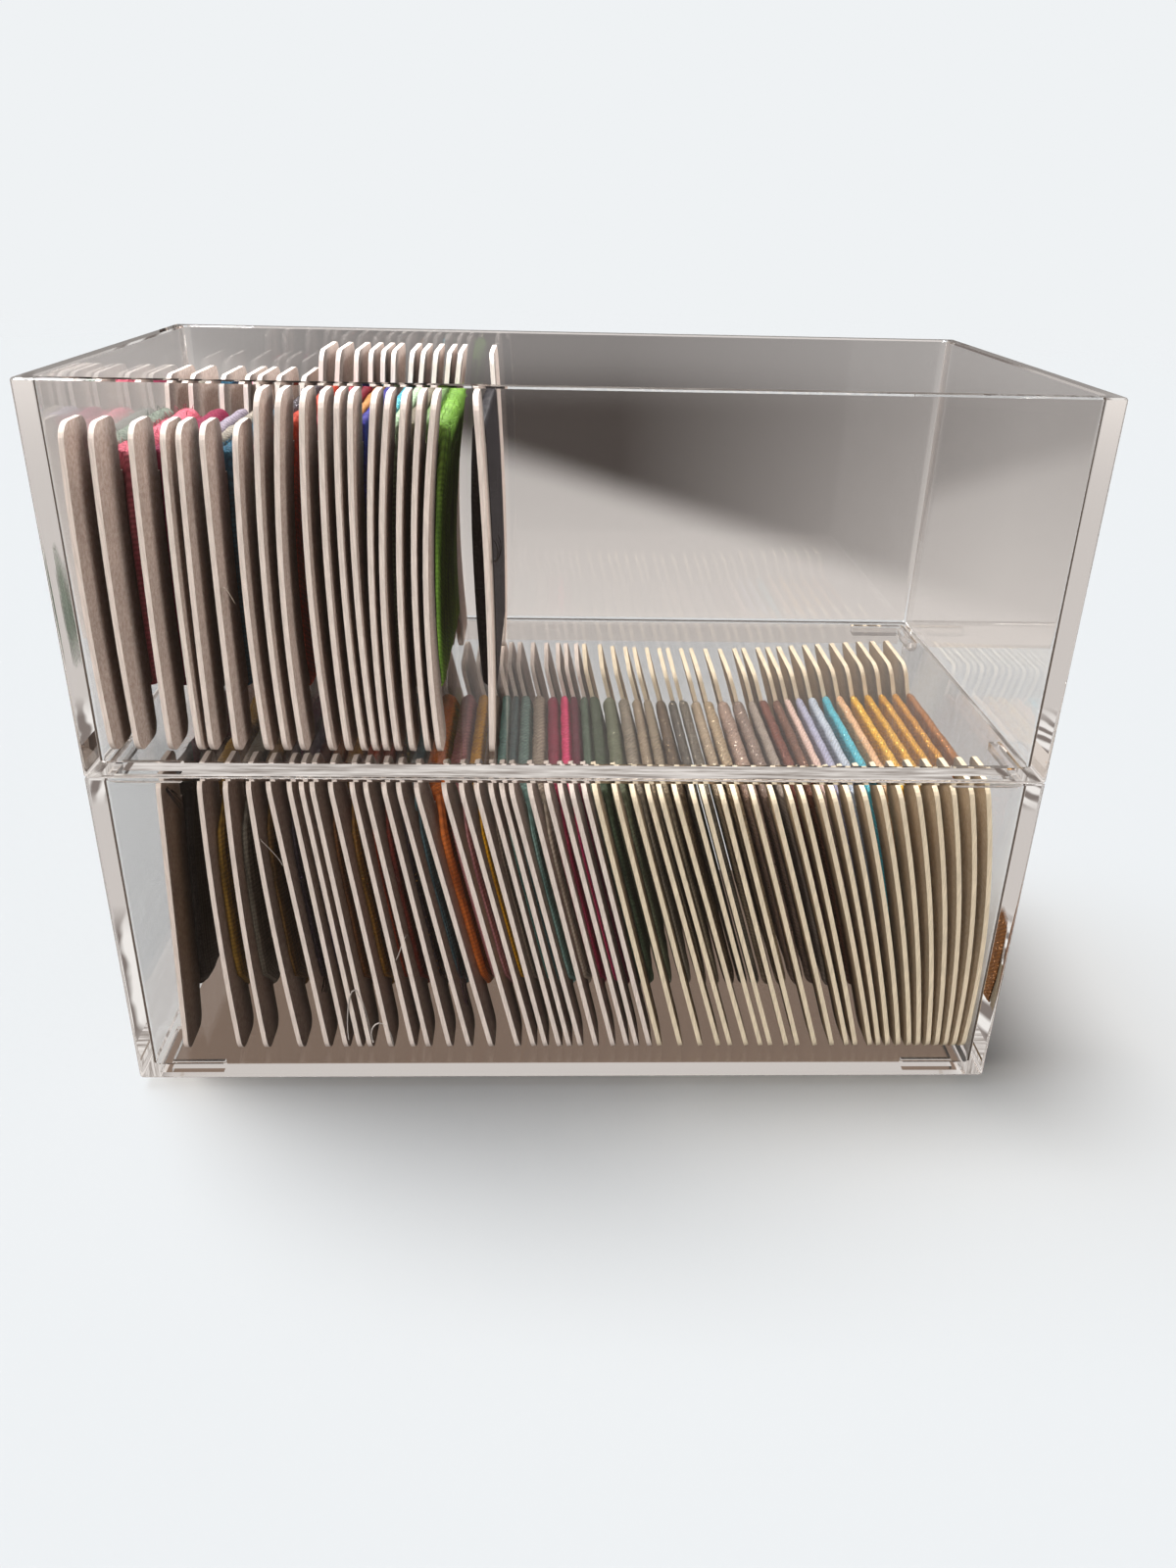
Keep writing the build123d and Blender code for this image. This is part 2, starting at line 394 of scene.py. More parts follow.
# %% Painted table below and painted light in the edges
# A glowing sheet, painted light: the brown of a table, seen through the floor of the lower tray.
table_sheet_painted_below, tree = new_material("glowing_brown_painted_table")
finish_material(tree, add(tree, "Emission", {"Color": linear("#8C796C")}))
table_x, table_y, table_z = 109 * MM, 54 * MM, 0.4 * MM
below = flat_sheet("below", (-table_x, -table_y, table_z), (table_x, table_y, table_z), table_sheet_painted_below)

# Glowing sheets with painted streaks: painted highlights that light caught in the walls carries to the trays'
# edges.
edge_light, tree = new_material("light_in_the_edges")
place = add(tree, "TexCoord").outputs["Object"]
streaks = add(tree, "Mapping", {"Vector": place, "Scale": (50.0, 500.0, 90.0)})
painted_streak = add(tree, "TexNoise", {"Vector": streaks, "Scale": 1.0, "Detail": 3.0, "Roughness": 0.7})
sharp = add(tree, "MapRange", {"Value": painted_streak, "From Min": 0.36, "From Max": 0.62})
shine = add(tree, "Mix", {"Factor": sharp, 6: linear("#9A918B"), 7: linear("#F6F2EF")}, data_type="RGBA")
glow = add(tree, "Emission", {"Color": shine})
clear = add(tree, "BsdfTransparent")
edge = add(tree, "MixShader", {"Fac": mirrored_more_than(tree, 1), 1: clear, 2: glow})
finish_material(tree, edge)

half_x, half_y, wall_x = 110 * MM, 55.2 * MM, 110.4 * MM
edge_sheets = []
for name, z in (("under_upper_floor", 91.9 * MM), ("over_lower_floor", 6.2 * MM)):
    edge_sheets.append(flat_sheet(name, (-half_x, -half_y, z), (half_x, half_y, z), edge_light))
for row, low_z, high_z in (("lower", 6.5 * MM, 88.5 * MM), ("upper", 95.5 * MM, 180.5 * MM)):
    for side, x in (("left", -wall_x), ("right", wall_x)):
        name = f"inside_{side}_wall_{row}"
        edge_sheets.append(flat_sheet(name, (x, -half_y, low_z), (x, half_y, high_z), edge_light))
for sheet in (behind, below, *edge_sheets):
    sheet.visible_camera = False
    sheet.visible_diffuse = False
    sheet.visible_shadow = False
    sheet.visible_glossy = sheet in edge_sheets
    sheet.visible_transmission = sheet not in edge_sheets
print("two sheets are seen through the plastic only, and", len(edge_sheets), "by light that is caught in it")

# %% [markdown]
# The trays are crystal-clear polystyrene, injected into a polished mould, so they are as smooth as glass and
# bend light a little more. A clear solid that lamps can't shine through would leave its contents in the dark,
# so light that goes to lamps, or that the cards send on, passes straight through with a slight loss. Light
# that gets caught in a wall bounces between its faces until it meets a flaw. It is let out after two
# reflections, because rays that are never let out would turn the edges black, and edges of clear plastic
# shine.


# %% Clear moulded trays
def clear_plastic(name):
    """Polished clear plastic, which lets some light pass straight and lets mirrored light out of a wall."""
    material, tree = new_material(name)
    plastic = add(tree, "BsdfPrincipled", {
        "Base Color": linear("#F8F7F6"),
        "Roughness": 0.012,
        "IOR": 1.52,
        "Transmission Weight": 1.0,
    })
    straight = add(tree, "BsdfTransparent", {"Color": linear("#F6F4F2")})
    path = add(tree, "LightPath").outputs
    passing = add(tree, "Math", {0: path["Is Shadow Ray"], 1: path["Is Diffuse Ray"]}, operation="MAXIMUM")
    let_out = add(tree, "Math", {0: passing, 1: mirrored_more_than(tree, 1)}, operation="MAXIMUM")
    pane = add(tree, "MixShader", {"Fac": let_out, 1: plastic, 2: straight})
    finish_material(tree, pane)
    return material


for tray in ("lower_tray", "upper_tray"):
    tray_mesh = frame["nodes"][tray].data
    tray_mesh.materials.clear()
    tray_mesh.materials.append(clear_plastic(f"clear_moulded_polystyrene_{tray}"))
    print(tray, "has", len(tray_mesh.polygons), "faces and the material", tray_mesh.materials[0].name)

# %% [markdown]
# The upper cards are single CAD nodes, and the lower ones come in bundles of five that share a node. A group
# says, for each node, which row it is in, which body it rides on, and which of the row's cards it holds. Each
# card's place and lean are read back from its CAD solid. A card is a thin plate, so the direction in which
# its corners spread most, seen from the front, is the way up the card, and the direction across that is the
# card's own thickness. Everything on a card is then built in three numbers: y from front to back, height up
# the card, and offset to the right of its middle plane.

# %% Groups of cards
groups = [
    {
        "row": row,
        "cards": f"{row}_{cards}_{number:02d}",
        "threads": f"{row}_{threads}_{number:02d}",
        "body": f"{row}_{body}_{number:02d}",
        "thread_slot": f"thread_{row}_{number:02d}",
        "first": (number - 1) * size,
        "size": size,
    }
    for row, cards, threads, body, count, size in (
        ("upper", "card", "thread", "card", 19, 1),
        ("lower", "cards", "threads", "bundle", 10, 5),
    )
    for number in range(1, count + 1)
]
print(len(groups), "groups, from", groups[0]["cards"], "to", groups[-1]["cards"])


# %% Where each card stands
def solids_of(node, count):
    """Corner places of each of the count solids of a node, which follow one another in its mesh."""
    mesh = frame["nodes"][node].data
    places = np.empty(3 * len(mesh.vertices))
    mesh.vertices.foreach_get("co", places)
    return [np.unique(np.round(part, 7), axis=0) for part in np.split(places.reshape(-1, 3), count)]


def card_stand(places):
    """A card's foot, its way up and its way across, seen from the front, and its three sizes."""
    front = places[:, [0, 2]]
    spread = np.cov((front - front.mean(0)).T)
    way_up = np.linalg.eigh(spread)[1][:, -1]
    way_up = way_up * np.sign(way_up[1])
    across = np.array((way_up[1], -way_up[0]))
    heights = front @ way_up
    offsets = front @ across
    foot = heights.min() * way_up + (offsets.min() + offsets.max()) / 2 * across
    return {
        "foot": foot,
        "up": way_up,
        "across": across,
        "height": np.ptp(heights),
        "length": np.ptp(places[:, 1]),
        "thickness": np.ptp(offsets),
    }


def winding_span(stand, places):
    """A winding's lowest and highest point up its card, and its reach to the left and right."""
    from_foot = places[:, [0, 2]] - stand["foot"]
    heights = from_foot @ stand["up"]
    offsets = from_foot @ stand["across"]
    return {"low": heights.min(), "high": heights.max(), "left": -offsets.min(), "right": offsets.max()}


rows = {"upper": [], "lower": []}
for group in groups:
    windings = solids_of(group["threads"], group["size"])
    for card_places, winding_places in zip(solids_of(group["cards"], group["size"]), windings):
        stand = card_stand(card_places)
        stand["winding"] = winding_span(stand, winding_places)
        rows[group["row"]].append(stand)
print(len(rows["upper"]), "cards above and", len(rows["lower"]), "below")
first_lean = np.degrees(np.arctan2(*rows["lower"][0]["up"]))
print("the first card below leans by", round(float(first_lean), 2), "degrees")

# %% [markdown]
# Thin board that leans under its own weight bows. Each card's bow is the distance, in millimetres, by which
# its middle stands to the right of the straight line from its foot to its top. It follows a parabola that is
# nothing at both ends, with a slight twist from front to back. One function bends whatever belongs to a card.

# %% Bows
upper_bows = (
    -1.0, -0.8, -0.6, -0.8, -0.5, -0.4, -1.4, -1.7, -2.1, -1.9,
    -1.6, -1.7, -1.7, -2.0, -2.4, -2.0, -2.3, -2.6, 0.9,
)
bow_starts_at, last_card, lower_bow_most = 34, 50, 3.1
along_row = (np.arange(1, 51) - bow_starts_at) / (last_card - bow_starts_at)
lower_bows = lower_bow_most * np.clip(along_row, 0, 1) ** 1.3
lower_bows[1:4] = (-1.0, -1.1, -1.0)
twist_most = 0.15

rng = np.random.default_rng(7)
for stands, bows in ((rows["upper"], upper_bows), (rows["lower"], lower_bows)):
    for stand, bow in zip(stands, bows):
        stand["bow"] = bow * MM
        stand["twist"] = rng.uniform(-twist_most, twist_most) * MM


def bow_at(stand, height):
    """How far a bowed card is to the right of straight: bow times 1 - s squared, with s from -1 to 1."""
    share = 2 * height / stand["height"] - 1
    return stand["bow"] * (1 - share**2)


def bend(stand, y, height, offset):
    """Places in the frame of points given by y, height and offset on one bowed card."""
    twist = stand["twist"] * (2 * y / stand["length"]) * (2 * height / stand["height"] - 1)
    shift = offset + bow_at(stand, height) + twist
    x = stand["foot"][0] + height * stand["up"][0] + shift * stand["across"][0]
    z = stand["foot"][1] + height * stand["up"][1] + shift * stand["across"][1]
    return np.stack((x, y + 0 * x, z), -1)


print("bows run from", round(min(upper_bows), 1), "to", round(float(lower_bows.max()), 1), "mm")

# %% [markdown]
# A surface on a grid needs only the corner numbers of its quads. Where a direction is closed, its last line
# joins its first. Several surfaces can share one object: their points follow one another, and each quad keeps
# the number of its own material. If the solid that they enclose comes out negative, all quads are turned
# round.


# %% Grids into meshes
def quad_corners(rows, columns, close_rows, close_columns):
    """Row and column numbers of the four corners of each quad of a grid."""
    r = np.arange(rows if close_rows else rows - 1)[:, None]
    c = np.arange(columns if close_columns else columns - 1)[None, :]
    return (r, c), (r, c + 1), (r + 1, c + 1), (r + 1, c)


def quads(rows, columns, close_rows, close_columns):
    """Corner numbers of a grid's quads, as an array of fours, row by row."""
    corners = quad_corners(rows, columns, close_rows, close_columns)
    return np.stack([(a % rows) * columns + b % columns for a, b in corners], -1).reshape(-1, 4)


def outward(points, faces):
    """The same quads, turned round if the volume that they enclose comes out negative."""
    a, b, c, d = (points[faces[:, i]] for i in range(4))
    volume = np.einsum("ij,ij->i", a, np.cross(b, c) + np.cross(c, d)).sum()
    return faces if volume > 0 else faces[:, ::-1]


def build_object(name, surfaces, materials, group, replaced=None, smooth=True):
    """One object from several surfaces, each with points, faces, a material number and attributes."""

    def joined(key):
        return np.concatenate([surface[key] for surface in surfaces])

    starts = np.cumsum([0] + [len(s["points"]) for s in surfaces])
    faces = np.concatenate([s["faces"] + start for s, start in zip(surfaces, starts)])
    numbers = np.concatenate([np.full(len(s["faces"]), s.get("material", 0)) for s in surfaces])
    mesh = bpy.data.meshes.new(name)
    mesh.from_pydata(joined("points").tolist(), [], faces.tolist())
    mesh.polygons.foreach_set("material_index", numbers.astype(np.int32))
    mesh.polygons.foreach_set("use_smooth", np.full(len(faces), smooth))
    if "rim" in surfaces[0]:
        rim = mesh.attributes.new("cut_edge", "FLOAT", "FACE")
        rim.data.foreach_set("value", joined("rim").astype(np.float32))
    if "uv" in surfaces[0]:
        layer = mesh.uv_layers.new(name="along_and_across")
        layer.data.foreach_set("uv", joined("uv").astype(np.float32).ravel())
    for material in materials:
        mesh.materials.append(material)
    piece = bpy.data.objects.new(name, mesh)
    scene.collection.objects.link(piece)
    lit_rows[group["row"]].objects.link(piece)
    lit_rows["both"].objects.link(piece)
    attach(piece, group["body"])
    if replaced:
        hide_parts(replaced)
    return piece


print("a grid of 3 by 4 points, closed one way, has", len(quads(3, 4, False, True)), "quads")

# %% [markdown]
# A card is cut from board by a die: an H with rounded corners. It is a grid of columns from front to back and
# of rows up the card. Each column starts where the outline is at its y, which is 0 along the foot, rises
# round the outer corners as a quarter circle, and is the notch's depth under the waist. The same outline,
# turned over, ends the column at the top. Two such grids, half a thickness to each side, and the cut edge
# between them close the plate.

# %% Outline of a card
card_corner = 4.0 * MM
notch_front, notch_back = -37.0 * MM, 25.0 * MM
notch_depth = 12.5 * MM
notch_draft = 0.5 * MM
notch_corner = 3.5 * MM
card_rows = 14


def card_columns(length):
    """y of each column: close together round the outer corners and at the notch's sides."""
    turn = np.linspace(0, np.pi / 2, 7)
    outer = length / 2 - card_corner * (1 - np.sin(turn))
    beside = np.concatenate(([-8.0 * MM, -notch_draft], notch_corner * (1 - np.cos(turn))))
    y = np.concatenate((-outer, notch_front - beside, [0.0], notch_back + beside, outer))
    return np.unique(np.round(y, 7))


def card_outline(y, length):
    """Height of the lower outline over the foot, by y.

    The outer corner is a quarter circle. Beside the notch is a smaller one, and then the notch's depth."""
    beyond = np.clip(np.abs(y) - (length / 2 - card_corner), 0, card_corner)
    corner = card_corner - np.sqrt(card_corner**2 - beyond**2)
    from_notch = np.maximum(y - notch_back, notch_front - y)
    rounding = np.clip(notch_corner - from_notch, 0, notch_corner)
    shoulder = notch_corner - np.sqrt(notch_corner**2 - rounding**2)
    notch = np.clip(-from_notch / notch_draft, 0, 1) * (notch_depth - notch_corner)
    return corner + shoulder + notch


print("the notch is", round((notch_back - notch_front) / MM), "mm long")


# %% Surface of a card
def card_surface(stand):
    """The closed surface of one card: front and back grids, joined by the cut edge all the way round."""
    y = card_columns(stand["length"])
    low = card_outline(y, stand["length"])
    share = np.linspace(0, 1, card_rows)
    height = low[:, None] + share[None, :] * (stand["height"] - 2 * low[:, None])
    ring_height = np.concatenate((height, height[:, ::-1]), 1)
    half_thickness = stand["thickness"] / 2
    offset = np.concatenate((np.full(card_rows, half_thickness), np.full(card_rows, -half_thickness)))
    columns, ring = ring_height.shape
    points = bend(stand, y[:, None] + 0 * ring_height, ring_height, offset[None, :] + 0 * ring_height)
    sides = quads(columns, ring, False, True)
    near = np.arange(card_rows - 1)
    first = np.stack((near, ring - 1 - near, ring - 2 - near, near + 1), -1)
    last = first[:, ::-1] + (columns - 1) * ring
    faces = np.concatenate((sides, first, last))
    turn = np.arange(len(sides)) % ring
    side_rim = (turn == card_rows - 1) | (turn == ring - 1)
    rim = np.concatenate((side_rim, np.ones(2 * len(first), bool)))
    points = points.reshape(-1, 3)
    return {"points": points, "faces": outward(points, faces), "rim": rim}


one_card = card_surface(rows["upper"][0])
print("a card has", len(one_card["points"]), "points and", len(one_card["faces"]), "faces")

# %% [markdown]
# The cards are uncoated grey-beige paperboard, pressed from pulp and cut by a die. The faces are matt with a
# faint fibre mottle, and painted shade darkens them towards the thread, deep in the gaps between the cards.
# The cut edge shows the plies as fine lines and is paler and rougher, because the fibres there are torn. The
# mottle is about 1 mm across, and the plies 0.3 mm thick.

# %% Paperboard
# Painted shade: how dark the faces get, and the spans of y over which they darken towards the thread.
darkest_painted_shade = 0.42
painted_shade_spans = ((-46 * MM, -38 * MM), (36 * MM, 27 * MM))


def paperboard(name, face_colour, edge_colour):
    """Matt board: a mottled face with painted shade near the thread, a paler cut edge and a slight tooth."""
    material, tree = new_material(name)
    place = add(tree, "TexCoord").outputs["Object"]
    pulp = add(tree, "TexNoise", {"Vector": place, "Scale": 900.0, "Detail": 3.0, "Roughness": 0.6})
    cloud = add(tree, "TexNoise", {"Vector": place, "Scale": 60.0, "Detail": 2.0})
    pulpy = add(tree, "Mix", {
        "Factor": pulp,
        6: linear(face_colour),
        7: linear(edge_colour),
    }, data_type="RGBA")
    mottle = add(tree, "MapRange", {
        "Value": cloud,
        "From Min": 0.3,
        "From Max": 0.7,
        "To Min": 0.88,
        "To Max": 1.05,
    })
    depth = add(tree, "SeparateXYZ", {0: place}).outputs["Y"]
    # Painted shade: the faces darken towards the thread, in front of the notch and behind it.
    front_shade_painted, back_shade_painted = (
        add(tree, "MapRange", {
            "Value": depth,
            "From Min": unshaded_y,
            "From Max": dark,
            "To Min": 1.0,
            "To Max": darkest_painted_shade,
        }, interpolation_type="SMOOTHSTEP")
        for unshaded_y, dark in painted_shade_spans
    )
    shade_painted_near_thread = add(tree, "Math", {0: front_shade_painted, 1: back_shade_painted}, operation="MAXIMUM")
    shade = add(tree, "Math", {0: mottle, 1: shade_painted_near_thread}, operation="MULTIPLY")
    face = add(tree, "VectorMath", {0: pulpy, "Scale": shade}, operation="SCALE")
    fibres = add(tree, "Mapping", {"Vector": place, "Scale": (3000.0, 200.0, 200.0)})
    ply = add(tree, "TexNoise", {"Vector": fibres, "Scale": 1.0, "Detail": 2.0})
    torn = add(tree, "MapRange", {
        "Value": ply,
        "From Min": 0.3,
        "From Max": 0.7,
        "To Min": 0.82,
        "To Max": 1.1,
    })
    edge = add(tree, "VectorMath", {0: linear(edge_colour)[:3], "Scale": torn}, operation="SCALE")
    cut = add(tree, "Attribute", attribute_name="cut_edge")
    colour = add(tree, "Mix", {"Factor": cut.outputs["Fac"], 6: face, 7: edge}, data_type="RGBA")
    tooth = add(tree, "Bump", {"Height": pulp, "Strength": 0.25, "Distance": 0.1 * MM})
    board = add(tree, "BsdfPrincipled", {
        "Base Color": colour,
        "Roughness": 0.85,
        "Specular IOR Level": 0.25,
        "Normal": tooth,
    })
    finish_material(tree, board)
    return material


cool_board = paperboard("paperboard_grey_beige", "#94796A", "#E6DAD2")
warm_board = paperboard("paperboard_warm_beige", "#AE9270", "#EADCC2")
print("boards:", cool_board.name, warm_board.name)

# %% [markdown]
# The cards of a bundle share one object, as they share one CAD node. In the lower row the board gets warmer
# towards the right.

# %% Cards
warm_from = 22
for group in groups:
    stands = rows[group["row"]][group["first"] : group["first"] + group["size"]]
    board = warm_board if group["first"] >= warm_from else cool_board
    surfaces = [card_surface(stand) for stand in stands]
    cards = group["cards"]
    build_object(f"bowed_{cards}", surfaces, [board], group, cards, smooth=False)
print("cards are in", len(groups), "objects")

# %% [markdown]
# Thread is wound up one face of the card, over the edge of the notch, down the other face and under the lower
# notch, a turn at a time from front to back. One winding is therefore a closed band: a function of two
# parameters, the turn round the waist and the way across it. Its section is a long oval that is flat over the
# face and rounds off over each notch. Nothing wound by hand is even, so smooth noise makes it wander a
# little.


# %% Smooth unevenness
def wander(rng, rows, columns, row_waves, column_waves):
    """Smooth noise on a grid, about -1 to 1: a third of the sum of six waves with chance phases."""
    u = np.linspace(0, 2 * np.pi, rows, endpoint=False)[:, None]
    v = np.linspace(0, 2 * np.pi, columns)[None, :]
    total = np.zeros((rows, columns))
    for _ in range(6):
        a = rng.integers(0, row_waves + 1)
        b = rng.uniform(0.5, column_waves)
        total += np.sin(a * u + b * v + rng.uniform(0, 2 * np.pi))
    return total / 3


# %% Section of a winding
strand_pitch = 1.2 * MM
strand_height = 0.30 * MM
columns_per_strand = 4
winding_front, winding_back = -35.5 * MM, 23.5 * MM
winding_middle = (winding_back + winding_front) / 2
half_width = (winding_back - winding_front) / 2
winding_columns = int(round(2 * half_width / strand_pitch)) * columns_per_strand + 1
shoulder_width, shoulder_drop = 2.0 * MM, 0.6
from_ends = 2 * MM
end_wander = 0.6 * MM
lump_share, strand_wander = 0.09, 0.30
board_clearance, strand_clearance, lining_clearance = 0.12 * MM, 0.06 * MM, 0.03 * MM


def winding_ring():
    """Steps once round a stadium: bottom to top on the left, then top to bottom on the right.

    Each step has a side, the share up the straight, the cosine and sine of the turn in the round ends."""
    turn = np.linspace(0, np.pi / 2, 6)
    way = np.linspace(0, 1, 9)[1:-1]
    share = np.concatenate((0 * turn, way, 0 * turn + 1))
    dip = np.concatenate((-np.cos(turn), 0 * way, np.cos(turn[::-1])))
    out = np.concatenate((np.sin(turn), 0 * way + 1, np.sin(turn[::-1])))
    side = np.concatenate((-np.ones(len(share)), np.ones(len(share) - 2)))
    back = slice(-2, 0, -1)
    return [a[:, None] for a in (side, *(np.concatenate((a, a[back])) for a in (share, dip, out)))]


ring_side, ring_share, ring_dip, ring_out = winding_ring()


def winding_section(stand, left, right, crest, rng):
    """A smooth closed band round the waist: height and offset by step and by y, with its thickness.

    The section is a stadium: straight over the card's faces, with round ends over the notches. left and right
    give its thickness at each height up the card. crest is how far it is raised over the notch."""
    y = np.linspace(-half_width, half_width, winding_columns)[None, :]
    half_board = stand["thickness"] / 2
    lowest, highest = stand["winding"]["low"], stand["winding"]["high"] + crest
    shoulder = np.clip((half_width - np.abs(y)) / shoulder_width, 0, 1)
    shoulder = np.sqrt(1 - (1 - shoulder) ** 2)
    low = lowest + (0.5 + 0.5 * wander(rng, 1, winding_columns, 0, 9.0)) * end_wander
    high = highest - (0.4 + 0.4 * wander(rng, 1, winding_columns, 0, 7.0)) * end_wander
    high = high - (1 - shoulder) * shoulder_drop * MM
    low_round, high_round = (
        0.5 * (left(h) + right(h)) + half_board for h in (lowest + from_ends, highest - from_ends)
    )
    straight_height = (low + low_round) * (1 - ring_share) + (high - high_round) * ring_share
    height = straight_height + ring_dip * np.where(ring_share > 0.5, high_round, low_round)
    thickness = np.where(ring_side < 0, left(straight_height), right(straight_height))
    lumps = 1 - lump_share * (1 + wander(rng, len(ring_side), winding_columns, 3, 8.0))
    reach = (half_board + thickness * lumps * (0.35 + 0.65 * shoulder)) * ring_out
    over_board = (height > notch_depth) & (height < stand["height"] - notch_depth)
    reach = np.where(over_board, np.maximum(reach, half_board + board_clearance), reach)
    return y, height, ring_side * reach, thickness, over_board


print("a winding has", len(ring_side), "steps round and", winding_columns, "columns")

# %% [markdown]
# The strands stand up from the band as ridges that step one place over with every turn. Under them a thin
# lining closes the band against the card. Loosely wound thread bulges towards the front and the back between
# the notches, so the band is stretched in y there.


# %% Strands
def with_strands(stand, y, height, offset, thickness, over_board, rng):
    """The band with ridges along its outward normal: the size of a cosine across the strands, less one.

    The cosine steps on by one strand with each turn. Also gives the normal and the length of each step."""
    along_offset, along_height = (np.roll(a, -1, 0) - np.roll(a, 1, 0) for a in (offset, height))
    step = np.hypot(along_offset, along_height)
    rise_offset, rise_height = -along_height / (step + 1e-12), along_offset / (step + 1e-12)
    turn = np.arange(len(ring_side))[:, None] / len(ring_side)
    phase = y / strand_pitch - turn + strand_wander * wander(rng, len(ring_side), winding_columns, 2, 6.0)
    rise = strand_height * (np.abs(np.cos(np.pi * phase)) - 1)
    rise = rise * np.clip(thickness / (0.8 * MM), 0.3, 1)
    offset = offset + rise_offset * rise
    height = height + rise_height * rise
    nearest = stand["thickness"] / 2 + strand_clearance
    offset = np.where(over_board, ring_side * np.maximum(ring_side * offset, nearest), offset)
    return height, offset, rise_height, rise_offset, step


# %% Surface of a winding
def winding_surface(stand, left, right, crest, bulge, rng):
    """The closed surface of one winding. y is stretched by bulge times the square root of 1 - s to the sixth.

    s runs from -1 at the lower notch to 1 at the upper one."""
    y, height, offset, thickness, over_board = winding_section(stand, left, right, crest, rng)
    strands = with_strands(stand, y, height, offset, thickness, over_board, rng)
    height, offset, rise_height, rise_offset, step = strands

    waist_low = notch_depth - 0.05 * MM
    waist_high = stand["height"] - waist_low
    lining_y = np.array([[half_width, 0.0, -half_width]]) * 0.995
    lining_height = waist_low + ring_share * (waist_high - waist_low)
    lining_offset = ring_side * (stand["thickness"] / 2 + lining_clearance) * ring_out
    up_waist = (height - notch_depth - 1.0 * MM) / (stand["height"] - 2 * notch_depth - 2.0 * MM)
    stretch = 1 + bulge / half_width * np.sqrt(np.clip(1 - (2 * up_waist - 1) ** 6, 0, 1))
    stretched_y = y * stretch + winding_middle
    all_y = np.concatenate((stretched_y, lining_y + winding_middle + 0 * lining_offset), 1)
    all_height = np.concatenate((height, lining_height + 0 * lining_y), 1)
    all_offset = np.concatenate((offset, lining_offset + 0 * lining_y), 1)
    points = bend(stand, all_y, all_height, all_offset).reshape(-1, 3)
    faces = quads(*all_y.shape, True, True)

    down = np.concatenate(([0.0], np.cumsum(step.mean(1) / 2))) / MM
    across = np.concatenate((y[0], lining_y[0], y[0, :1])) / MM
    corners = quad_corners(*all_y.shape, True, True)
    corner_uv = [np.stack(np.broadcast_arrays(down[a], across[b]), -1) for a, b in corners]
    uv = np.stack(corner_uv, 2).reshape(-1, 4, 2)
    turned = outward(points, faces)
    if turned is not faces:
        uv = uv[:, ::-1]
    outer = np.stack([a.ravel() for a in (stretched_y, height, offset, rise_height, rise_offset)])
    return {"points": points, "faces": turned, "uv": uv.reshape(-1, 2), "outer": outer}


print("strands are", strand_pitch / MM, "mm apart and stand", strand_height / MM, "mm up")

# %% [markdown]
# A winding may fill the room that its neighbours leave, and no more. At each height the room is the distance
# between two bowed cards, less the board. Each of the two windings gets half of what is left after a gap.

# %% Room between cards
neighbour_gap, least_thickness = 0.35 * MM, 0.15 * MM


def middle_x(stand, height):
    """x of a bowed card's middle plane at a height."""
    return stand["foot"][0] + height * stand["up"][0] + bow_at(stand, height) * stand["across"][0]


def side_room(stand, neighbour, most, fill):
    """A function of height: the thickness on the side that faces a neighbour, or most where there is none."""

    def thickness(height):
        if neighbour is None:
            return most * fill + 0 * height
        apart = np.abs(middle_x(neighbour, height) - middle_x(stand, height)) * stand["up"][1]
        room = (apart - stand["thickness"] - neighbour_gap) / 2
        return np.minimum(most, np.maximum(room, least_thickness)) * fill

    return thickness


def sides_of(stands, index, fill):
    """The thickness on the left and on the right of the card with that index in its row."""
    stand = stands[index]
    half_board = stand["thickness"] / 2
    left_neighbour = stands[index - 1] if index > 0 else None
    right_neighbour = stands[index + 1] if index + 1 < len(stands) else None
    left = side_room(stand, left_neighbour, stand["winding"]["left"] - half_board, fill)
    right = side_room(stand, right_neighbour, stand["winding"]["right"] - half_board, fill)
    return left, right


middle = rows["lower"][20]["height"] / 2
for index in (0, 20, 45):
    widths = np.round([float(side(middle)) / MM for side in sides_of(rows["lower"], index, 1.0)], 2)
    print("winding", index + 1, "below is", widths, "mm thick on its two sides")

# %% [markdown]
# Stranded cotton has a silky sheen and fine twist. Each turn is painted as a lighter line, a painted
# highlight, with painted shade between the turns, and dye lots vary along the thread. Metallic braid is film
# wound round
# a core: it has bright points where the film faces the light. Brushed yarn is fuzzy and dull. One function
# makes them all, from a deep and a light colour, the share of bright film and its colour. Its pattern follows
# the piece's own map, in millimetres along and across the strands: strands 1.2 mm wide and a twist of 1.1 mm.
# Seen in light caught in a wall, a thread is painted pale, a painted light that makes the edges of the trays
# shine.

# %% Thread
# Painted light: the pale colour that a thread shows to light caught in a wall.
thread_painted_pale_when_caught = linear("#E4DCD6")
points_per_mm = 1.6


